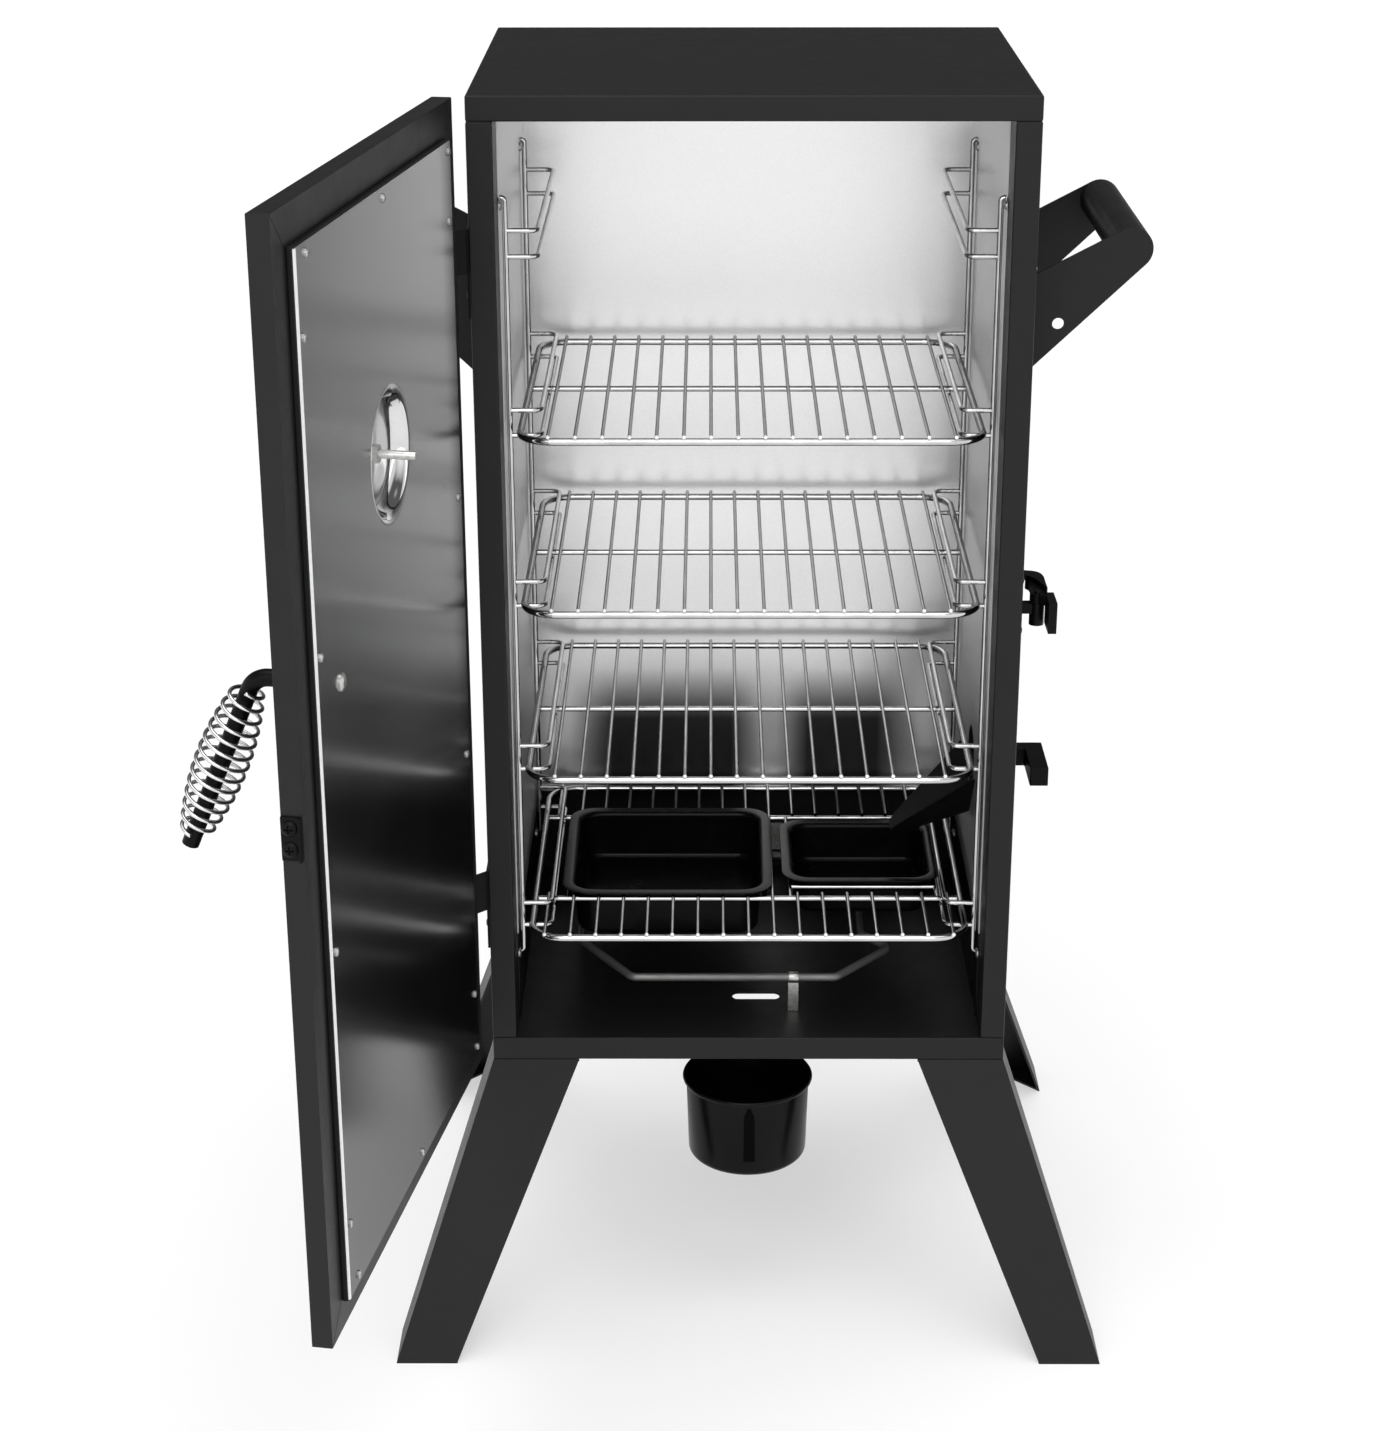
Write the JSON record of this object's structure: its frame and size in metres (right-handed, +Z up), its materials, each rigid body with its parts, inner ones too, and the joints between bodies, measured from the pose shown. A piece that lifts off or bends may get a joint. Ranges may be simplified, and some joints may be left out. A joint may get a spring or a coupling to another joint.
{
  "type": "electric cabinet smoker",
  "caption": "Upright electric cabinet smoker on four splayed legs, with a hinged insulated door, sliding grates, pans over a heating element, a side chip loader and a grease cup.",
  "frame": {"origin": "on the floor under the middle of the cabinet", "axes": "+Z up; -Y towards the front, where the door closes; +X towards the chip loader and latch side"},
  "size_m": [0.6746, 0.8574, 1.0064],
  "materials": {
    "black_steel": "satin black powder coat, fine orange peel",
    "black_cast": "satin black coated die casting",
    "black_enamel": "glossy black porcelain enamel",
    "black_liner": "matt black heat-proof coating",
    "bright_steel": "bright brushed sheet, grain up and down",
    "chromed_wire": "bright plated wire",
    "zinc_steel": "zinc-plated",
    "coated_element": "dull grey heat-stained tube",
    "spring_steel": "plated spring wire",
    "mineral_wool": "fibrous blanket",
    "black_plastic": "fine-grained moulded plastic",
    "dial_face": "matt printed plate",
    "needle_red": "satin",
    "clear_glass": "clear"
  },
  "bodies": {
    "cabinet": {"side_panel_left": "black_steel", "side_panel_right": "black_steel", "rear_panel": "black_steel", "top_cap": "black_steel", "base_pan": "black_steel", "liner_left": "bright_steel", "liner_right": "bright_steel", "liner_rear": "bright_steel", "liner_ceiling": "bright_steel", "lower_liner": "black_liner", "insulation": "mineral_wool", "leg_front_left": "black_steel", "leg_front_right": "black_steel", "leg_rear_left": "black_steel", "leg_rear_right": "black_steel", "leg_bolts": "zinc_steel", "rack_support_left": "chromed_wire", "rack_support_right": "chromed_wire", "support_screws": "zinc_steel", "heating_element": "coated_element", "element_clip": "zinc_steel", "element_flange": "zinc_steel", "terminal_box": "black_steel", "power_inlet": "black_plastic", "chip_chute": "black_steel", "loader_sleeve": "black_steel", "side_handle_left": "black_steel", "side_handle_right": "black_steel", "body_screws": "black_steel", "latch_bracket": "black_cast", "cabinet_hinge_leaves": "black_cast", "hinge_pins": "zinc_steel", "cup_hanger": "black_steel"},
    "door": {"door_pan": "black_steel", "door_inner_frame": "black_steel", "door_liner": "bright_steel", "door_insulation": "mineral_wool", "liner_screws": "zinc_steel", "thermometer_seat": "bright_steel", "thermometer_case": "zinc_steel", "thermometer_dial": "dial_face", "thermometer_lens": "clear_glass", "thermometer_stem": "zinc_steel", "handle_rod": "black_steel", "handle_spring": "spring_steel", "handle_bolt": "zinc_steel", "door_hinge_leaves": "black_cast", "catch_plate": "black_cast", "catch_screws": "black_cast"},
    "needle": {"thermometer_needle": "needle_red"},
    "upper_grate": {"upper_grate": "chromed_wire"},
    "middle_grate": {"middle_grate": "chromed_wire"},
    "lower_grate": {"lower_grate": "chromed_wire"},
    "pan_rack": {"pan_rack": "chromed_wire"},
    "water_pan": {"water_pan": "black_enamel"},
    "chip_tray": {"chip_tray": "black_enamel"},
    "latch": {"latch_lever": "black_cast"},
    "chip_loader": {"loader_scoop": "black_steel", "loader_handle": "black_cast"},
    "grease_cup": {"grease_cup": "black_enamel"}
  },
  "joints": [
    {"name": "door_swing", "type": "hinge", "parent": "cabinet", "child": "door", "pos_m": [-0.2186, -0.1835, 0.6], "axis": [0, 0, 1], "range_deg": [-70, 99.7]},
    {"name": "needle_turn", "type": "hinge", "parent": "door", "child": "needle", "pos_m": [-0.26476, -0.39535, 0.8065], "axis": [0.9857, -0.1685, 0], "range_deg": [-135, 135]},
    {"name": "upper_grate_slide", "type": "slide", "parent": "cabinet", "child": "upper_grate", "axis": [0, 1, 0], "range_m": [-0.25, 0]},
    {"name": "middle_grate_slide", "type": "slide", "parent": "cabinet", "child": "middle_grate", "axis": [0, 1, 0], "range_m": [-0.25, 0]},
    {"name": "lower_grate_slide", "type": "slide", "parent": "cabinet", "child": "lower_grate", "axis": [0, 1, 0], "range_m": [-0.25, 0]},
    {"name": "pan_rack_slide", "type": "slide", "parent": "cabinet", "child": "pan_rack", "axis": [0, 1, 0], "range_m": [-0.25, 0]},
    {"name": "water_pan_lift", "type": "slide", "parent": "pan_rack", "child": "water_pan", "axis": [0, 0, -1], "range_m": [-0.015, 0]},
    {"name": "chip_tray_lift", "type": "slide", "parent": "pan_rack", "child": "chip_tray", "axis": [0, 0, -1], "range_m": [-0.005, 0]},
    {"name": "latch_swing", "type": "hinge", "parent": "cabinet", "child": "latch", "pos_m": [0.2193, -0.141, 0.608], "axis": [0, 0, 1], "range_deg": [-20, 0]},
    {"name": "loader_turn", "type": "hinge", "parent": "cabinet", "child": "chip_loader", "pos_m": [0.2, -0.0204, 0.4378], "axis": [1, 0, 0], "range_deg": [0, 180]},
    {"name": "cup_slide", "type": "slide", "parent": "cabinet", "child": "grease_cup", "axis": [0, 1, 0], "range_m": [-0.12, 0]}
  ]
}
